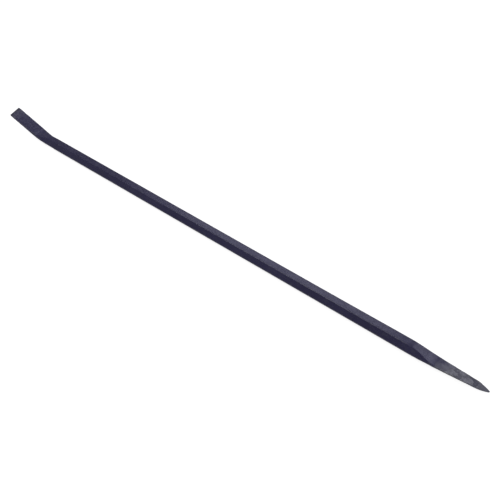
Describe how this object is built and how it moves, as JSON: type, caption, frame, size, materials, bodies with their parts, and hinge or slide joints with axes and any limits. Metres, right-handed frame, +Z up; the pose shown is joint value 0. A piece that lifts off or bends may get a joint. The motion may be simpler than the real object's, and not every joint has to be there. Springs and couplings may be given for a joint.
{
  "type": "pry bar",
  "caption": "Long hexagonal steel pry bar with a cranked flat chisel blade at one end, a flattened spear point at the other and a dark blue-black lacquer coat.",
  "frame": {"origin": "on the floor under the middle of the bar's length and width", "axes": "+X along the bar towards the spear point, +Z up, with the blade cranked up from the floor at -X"},
  "size_m": [0.9999, 0.0252, 0.039],
  "materials": {
    "forged_steel": "bare forged and ground steel, dull grey with darker scale",
    "blue_black_lacquer": "semi-gloss blue-black lacquer over forged steel"
  },
  "bodies": {
    "root": {"forged_bar": "forged_steel", "lacquer_coat": "blue_black_lacquer"}
  },
  "joints": []
}
